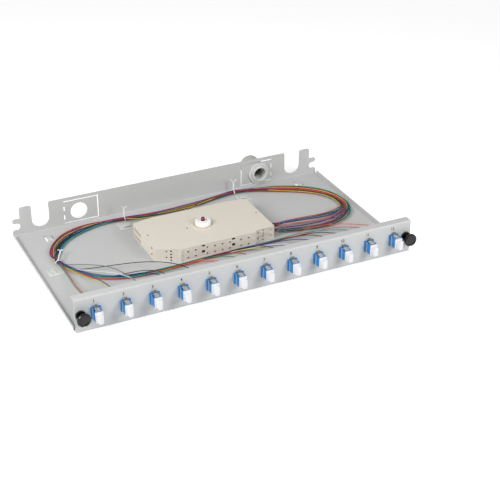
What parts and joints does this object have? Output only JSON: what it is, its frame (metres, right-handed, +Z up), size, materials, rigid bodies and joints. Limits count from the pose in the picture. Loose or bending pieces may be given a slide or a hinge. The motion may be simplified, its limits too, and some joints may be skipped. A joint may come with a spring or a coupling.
{
  "type": "sliding fibre patch drawer",
  "caption": "One-unit sliding fibre patch drawer: folded tray, row of capped duplex adapters, stacked splice cassettes, ring of coloured fibres, rear cable gland and push fasteners",
  "frame": {"origin": "centre of the tray's flat underside, halfway between the front and rear faces", "axes": "+X to the right seen from the front, +Y from the front panel to the rear wall, +Z up"},
  "size_m": [0.441, 0.3035, 0.0437],
  "materials": {
    "powder_coat": "light grey powder coat, fine grain, satin",
    "blue_plastic": "bright blue moulded plastic, satin gloss",
    "white_cap": "white soft plastic",
    "spring_steel": "bare spring steel",
    "connector_blue": "blue connector housings with white boots",
    "black_plastic": "glossy black nylon",
    "gland_grey": "light grey nylon",
    "seal_rubber": "black rubber sleeve",
    "cream_plastic": "cream moulded plastic, matt",
    "stud_steel": "steel stud with a dark red tip",
    "white_nut": "white plastic nut",
    "comb_grey": "grey splice comb",
    "protector_clear": "clear heat-shrink protectors",
    "fibre_jackets": "twelve jacket colours in turn",
    "mount_white": "white stick-on bases",
    "tie_white": "white plastic-covered wire"
  },
  "bodies": {
    "drawer": {"adapter_01": "blue_plastic", "adapter_02": "blue_plastic", "adapter_03": "blue_plastic", "adapter_04": "blue_plastic", "adapter_05": "blue_plastic", "adapter_06": "blue_plastic", "adapter_07": "blue_plastic", "adapter_08": "blue_plastic", "adapter_09": "blue_plastic", "adapter_10": "blue_plastic", "adapter_11": "blue_plastic", "adapter_12": "blue_plastic", "adapter_clips": "spring_steel", "cassette_stud": "stud_steel", "fastener_grommets": "black_plastic", "fibre_loom_lower": "fibre_jackets", "fibre_loom_upper": "fibre_jackets", "fibre_tails": "fibre_jackets", "gland_body": "gland_grey", "gland_locknut": "gland_grey", "gland_seal": "seal_rubber", "lc_connectors": "connector_blue", "lower_cassette": "cream_plastic", "splice_holder_lower": "comb_grey", "splice_protectors_lower": "protector_clear", "tie_left": "tie_white", "tie_mount_left": "mount_white", "tie_mount_rear_left": "mount_white", "tie_mount_rear_right": "mount_white", "tie_rear_left": "tie_white", "tie_rear_right": "tie_white", "tray": "powder_coat"},
    "dust_cap_01": {"dust_cap_01": "white_cap"},
    "dust_cap_02": {"dust_cap_02": "white_cap"},
    "dust_cap_03": {"dust_cap_03": "white_cap"},
    "dust_cap_04": {"dust_cap_04": "white_cap"},
    "dust_cap_05": {"dust_cap_05": "white_cap"},
    "dust_cap_06": {"dust_cap_06": "white_cap"},
    "dust_cap_07": {"dust_cap_07": "white_cap"},
    "dust_cap_08": {"dust_cap_08": "white_cap"},
    "dust_cap_09": {"dust_cap_09": "white_cap"},
    "dust_cap_10": {"dust_cap_10": "white_cap"},
    "dust_cap_11": {"dust_cap_11": "white_cap"},
    "dust_cap_12": {"dust_cap_12": "white_cap"},
    "left_plunger": {"left_plunger": "black_plastic"},
    "right_plunger": {"right_plunger": "black_plastic"},
    "gland_dome_nut": {"gland_dome_nut": "gland_grey"},
    "upper_cassette": {"upper_cassette": "cream_plastic", "splice_holder_upper": "comb_grey", "splice_protectors_upper": "protector_clear"},
    "cassette_lid": {"cassette_lid": "cream_plastic"},
    "cassette_nut": {"cassette_nut": "white_nut"}
  },
  "joints": [
    {"name": "dust_cap_01_pull", "type": "slide", "parent": "drawer", "child": "dust_cap_01", "axis": [0, -1, 0], "range_m": [0, 0.012]},
    {"name": "dust_cap_02_pull", "type": "slide", "parent": "drawer", "child": "dust_cap_02", "axis": [0, -1, 0], "range_m": [0, 0.012]},
    {"name": "dust_cap_03_pull", "type": "slide", "parent": "drawer", "child": "dust_cap_03", "axis": [0, -1, 0], "range_m": [0, 0.012]},
    {"name": "dust_cap_04_pull", "type": "slide", "parent": "drawer", "child": "dust_cap_04", "axis": [0, -1, 0], "range_m": [0, 0.012]},
    {"name": "dust_cap_05_pull", "type": "slide", "parent": "drawer", "child": "dust_cap_05", "axis": [0, -1, 0], "range_m": [0, 0.012]},
    {"name": "dust_cap_06_pull", "type": "slide", "parent": "drawer", "child": "dust_cap_06", "axis": [0, -1, 0], "range_m": [0, 0.012]},
    {"name": "dust_cap_07_pull", "type": "slide", "parent": "drawer", "child": "dust_cap_07", "axis": [0, -1, 0], "range_m": [0, 0.012]},
    {"name": "dust_cap_08_pull", "type": "slide", "parent": "drawer", "child": "dust_cap_08", "axis": [0, -1, 0], "range_m": [0, 0.012]},
    {"name": "dust_cap_09_pull", "type": "slide", "parent": "drawer", "child": "dust_cap_09", "axis": [0, -1, 0], "range_m": [0, 0.012]},
    {"name": "dust_cap_10_pull", "type": "slide", "parent": "drawer", "child": "dust_cap_10", "axis": [0, -1, 0], "range_m": [0, 0.012]},
    {"name": "dust_cap_11_pull", "type": "slide", "parent": "drawer", "child": "dust_cap_11", "axis": [0, -1, 0], "range_m": [0, 0.012]},
    {"name": "dust_cap_12_pull", "type": "slide", "parent": "drawer", "child": "dust_cap_12", "axis": [0, -1, 0], "range_m": [0, 0.012]},
    {"name": "left_plunger_push", "type": "slide", "parent": "drawer", "child": "left_plunger", "axis": [0, 1, 0], "range_m": [0, 0.007]},
    {"name": "right_plunger_push", "type": "slide", "parent": "drawer", "child": "right_plunger", "axis": [0, 1, 0], "range_m": [0, 0.007]},
    {"name": "gland_dome_nut_turn", "type": "hinge", "parent": "drawer", "child": "gland_dome_nut", "pos_m": [0.13, 0.1245, 0.0188], "axis": [0, 1, 0], "continuous": true},
    {"name": "upper_cassette_lift", "type": "slide", "parent": "drawer", "child": "upper_cassette", "axis": [0, 0, 1], "range_m": [0, 0.02]},
    {"name": "cassette_lid_lift", "type": "slide", "parent": "upper_cassette", "child": "cassette_lid", "axis": [0, 0, 1], "range_m": [0, 0.02]},
    {"name": "cassette_nut_turn", "type": "hinge", "parent": "cassette_lid", "child": "cassette_nut", "pos_m": [0, 0.0185, 0.022], "axis": [0, 0, 1], "continuous": true}
  ]
}
